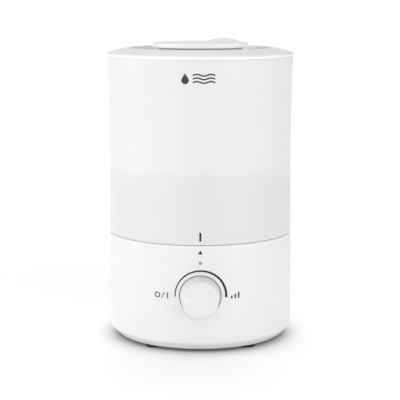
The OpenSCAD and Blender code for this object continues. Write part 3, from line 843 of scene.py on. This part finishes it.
def impeller():
    hub = spun(fillet([(0, 11.4), (1.2, 11.4), (1.2, 22.6), (8.2, 22.6, 0.4), (8.2, 13, 0.2), (9.4, 13, 0.3),
                       (9.4, 24, 1.0), (0, 24)]), 96)
    parts = [([(a + FX, b + FY, c) for a, b, c in hub[0]], hub[1])]
    nr, nc = 12, 8
    for b in range(7):
        a0 = 2 * math.pi * b / 7
        verts, faces = [], []
        for side in (0.5, -0.5):
            for i in range(nr + 1):
                q = i / nr
                r = 9.0 + 13.1 * q
                span = math.radians(46 - 10 * q)
                for j in range(nc + 1):
                    t = j / nc
                    ang = a0 + span * (t - 0.5) + 0.10 * q
                    z = 14.0 + 8.6 * (t + 0.10 * math.sin(math.pi * t))
                    k = math.sin(math.pi * (0.08 + 0.84 * t))
                    verts.append((FX + r * math.cos(ang), FY + r * math.sin(ang),
                                  z + side * (0.5 + 0.7 * k)))
        w = nc + 1
        n = (nr + 1) * w
        for i in range(nr):
            for j in range(nc):
                a = i * w + j
                faces.append((a, a + 1, a + 1 + w, a + w))
                faces.append((n + a, n + a + w, n + a + 1 + w, n + a + 1))
        for i in range(nr):
            for a in (i * w, i * w + nc):
                faces.append((a, a + w, n + a + w, n + a))
        for j in range(nc):
            for a in (j, nr * w + j):
                faces.append((a, a + 1, n + a + 1, n + a))
        parts.append((verts, faces))
    return joined("fan_impeller_skin", parts, [SLOTS["fan_black"]])


place(impeller(), "fan_rotor", "fan_black", "fan_impeller")

floaty = lathe("float_ring_skin", fillet([
    (3.1, 64.6, 0.4), (4.4, 64.6, 0.2), (4.4, 67.6), (7.2, 67.6), (7.2, 64.6, 0.2), (12, 64.6, 1.6),
    (12, 74.8, 1.6), (3.1, 74.8, 0.5)]), [SLOTS["float_orange"]], 96, at=(36, 34, 0))
place(floaty, "float", "float_orange", "float_ring")


def helix(x, y, z0, z1, r, wire, turns, n=40):
    pts = []
    total = int(turns * n)
    for k in range(total + 1):
        q = k / total
        a = 2 * math.pi * turns * q
        e = min(1.0, max(0.0, (q * turns - 0.8) / (turns - 1.6)))
        pts.append((x + r * math.cos(a), y + r * math.sin(a), z0 + wire + (z1 - z0 - 2 * wire) * e))
    return tube(pts, wire, 10, 0.01, 1)


coil = joined("valve_spring_coil", [helix(38, -30, 91.42, 95.38, 3.35, 0.3, 5.2)], [SLOTS["spring_steel"]])
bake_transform(coil)
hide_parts("valve_spring")

WIRES = {
    "inlet_wires": ("wire_red", 0.7, [
        [(-2, 67.9, 16), (-2, 60, 16), (23.6, 45, 28), (23.6, 29.5, 28), (23.6, 29.5, 17.2)],
        [(2, 67.9, 19), (2, 62, 19), (27, 45, 28), (27, 29.5, 28), (27, 29.5, 17.2)]]),
    "fan_wires": ("wire_black", 0.6, [
        [(-12.9, -8, 20), (-6, -8, 20), (6, -12, 26), (6, -12, 17.2)],
        [(-12.9, -12, 20), (-6, -12, 24), (9, -12, 30), (9, -12, 17.2)]]),
    "transducer_wires": ("wire_grey", 0.7, [
        [(3, 1, 54.9), (3, 1, 46), (44, 28.5, 44), (44, 28.5, 17.2)],
        [(-3, 3, 54.9), (-3, 3, 42), (47.5, 33, 39), (47.5, 28.5, 34), (47.5, 28.5, 17.2)]]),
    "control_wires": ("wire_grey", 0.5, [
        [(6 + i * 2.6, -67.7, 40), (6 + i * 2.6, -60, 40), (37.6 + i * 2.2, -33.5, 30),
         (37.6 + i * 2.2, -33.5, 17.2)] for i in range(4)]),
}
for node, (slot, r, paths) in WIRES.items():
    place(joined(node + "_skin", [tube(p, r) for p in paths], [SLOTS[slot]]), "base", slot, node)

# every CAD node that is shown as it is: finish and softened edges
record_slot = {s["node"]: s["material_slot"] for s in frame["record"]["subparts"]}
for name, ob in frame["nodes"].items():
    if ob.hide_render:
        continue
    ob.data.materials.clear()
    ob.data.materials.append(SLOTS[record_slot[name]])
    shade(ob, 30)
    lo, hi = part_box(name)
    small = min(hi[i] - lo[i] for i in range(3)) * 1000
    b = ob.modifiers.new("soft_edges", "BEVEL")
    b.width = min(0.3, small * 0.08) / 1000
    b.segments = 2
    b.limit_method = "ANGLE"
    b.angle_limit = math.radians(40)
    b.use_clamp_overlap = True
    b.harden_normals = False

# ------------------------------------------------------------------ stage


def stage_plane(name, size, z, mat):
    me = bpy.data.meshes.new(name)
    s = size
    me.from_pydata([(-s, -s, z), (s, -s, z), (s, s, z), (-s, s, z)], [], [(0, 1, 2, 3)])
    ob = bpy.data.objects.new(name, me)
    bpy.context.scene.collection.objects.link(ob)
    me.materials.append(mat)
    return ob


def floor_material():
    """Plain white sweep, glowing a little brighter than the light on it, with a painted contact shadow: colour and
    glow are darkened by ambient occlusion where something stands close.
    """
    m, nt, p = node_mat("pale_floor_painted_contact_shadow")
    ao = nt.nodes.new("ShaderNodeAmbientOcclusion")
    ao.samples = 12
    ao.inputs["Distance"].default_value = 0.025
    # painted contact shadow: ambient occlusion darkens the floor's colour and glow near the object
    nt.links.new(remap(nt, ao.outputs["AO"], 0.55, 0.95, 0.0, 0.85), p.inputs["Base Color"])
    nt.links.new(remap(nt, ao.outputs["AO"], 0.0, FLOOR_GLOW, 0.0, 1.0), p.inputs["Emission Strength"])
    p.inputs["Roughness"].default_value = 0.9
    p.inputs["Specular IOR Level"].default_value = 0.1
    p.inputs["Emission Color"].default_value = (1, 1, 1, 1)
    return m


FLOOR_GLOW = 0.145
m = floor_material()
floor = stage_plane("floor", 120.0, 0.0, m)

world = bpy.data.worlds.new("studio")
bpy.context.scene.world = world
world.use_nodes = True
wn = world.node_tree
bg = wn.nodes["Background"]
tc = wn.nodes.new("ShaderNodeTexCoord")
# soft round lights in the sky: azimuth (0 is the front, 90 the right), height in
# degrees, how narrow the light is, and its brightness
SKY_LIGHTS = [
    (-90, 8, 45, 11.0), (-30, 8, 45, 2.4), (45, 8, 45, 4.55), (90, 8, 45, 1.3),
    (-30, 36, 14, 0.34), (0, 36, 14, 1.07), (30, 36, 14, 1.08), (120, 65, 14, 0.5),
    (180, 65, 14, 2.47), (180, 8, 14, 0.58), (0, 88, 14, 0.18)]
SKY_LEVEL = 0.214


def sky_light(azimuth, height, narrow, bright):
    a, h = math.radians(azimuth), math.radians(height)
    dot = wn.nodes.new("ShaderNodeVectorMath")
    dot.operation = "DOT_PRODUCT"
    wn.links.new(tc.outputs["Generated"], dot.inputs[0])
    dot.inputs[1].default_value = (math.sin(a) * math.cos(h), -math.cos(a) * math.cos(h), math.sin(h))
    ex = sky_math("MULTIPLY_ADD", dot.outputs["Value"], narrow, -narrow)
    return sky_math("MULTIPLY", sky_math("EXPONENT", ex), bright)


def sky_math(how, value, *constants):
    n = wn.nodes.new("ShaderNodeMath")
    n.operation = how
    wn.links.new(value, n.inputs[0])
    for i, c in enumerate(constants):
        if isinstance(c, (int, float)):
            n.inputs[i + 1].default_value = c
        else:
            wn.links.new(c, n.inputs[i + 1])
    return n.outputs["Value"]


total = wn.nodes.new("ShaderNodeValue").outputs["Value"]
total.default_value = SKY_LEVEL
for one in SKY_LIGHTS:
    total = sky_math("ADD", total, sky_light(*one))
wn.links.new(total, bg.inputs["Strength"])
bg.inputs["Color"].default_value = (1, 1, 1, 1)

cam = bpy.data.cameras.new("camera")
cam.lens = 118.24
cam.sensor_width = 36
cam.sensor_fit = "HORIZONTAL"
cam.shift_x = -0.3 / 400
cam.clip_end = 400
cam_ob = bpy.data.objects.new("camera", cam)
bpy.context.scene.collection.objects.link(cam_ob)
cam_ob.location = (0, -1.2208 + AY / 1000, 0.3179)
cam_ob.rotation_euler = (math.radians(90 - 8.926), 0, 0)
bpy.context.scene.camera = cam_ob
bpy.context.scene.view_settings.view_transform = "Standard"
bpy.context.scene.view_settings.look = "None"
bpy.context.scene.cycles.max_bounces = 10
